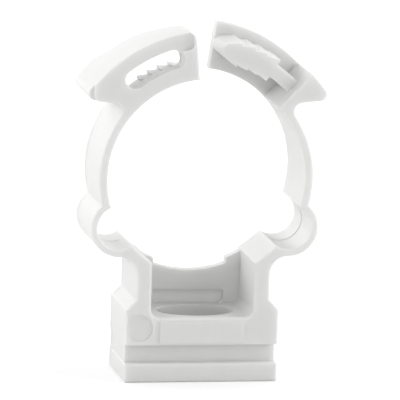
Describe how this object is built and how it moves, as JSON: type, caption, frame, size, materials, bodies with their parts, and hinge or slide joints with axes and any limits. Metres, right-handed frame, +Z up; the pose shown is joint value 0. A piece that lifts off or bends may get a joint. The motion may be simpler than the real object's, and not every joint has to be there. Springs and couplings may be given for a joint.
{
  "type": "pipe clip",
  "caption": "Moulded plastic pipe clip with a screw-down foot, sprung jaws on round loops and an open ratchet closure: barbed tongue, windowed block and toothed rack.",
  "frame": {"origin": "middle of the underside of the foot", "axes": "+Z up from the fixing surface to the closure, Y along the pipe with the open screw pocket facing -Y, +X towards the block with the tongue"},
  "size_m": [0.0406, 0.0152, 0.0597],
  "materials": {
    "moulding": "white, satin as moulded"
  },
  "bodies": {
    "root": {"clip_body": "moulding"}
  },
  "joints": []
}
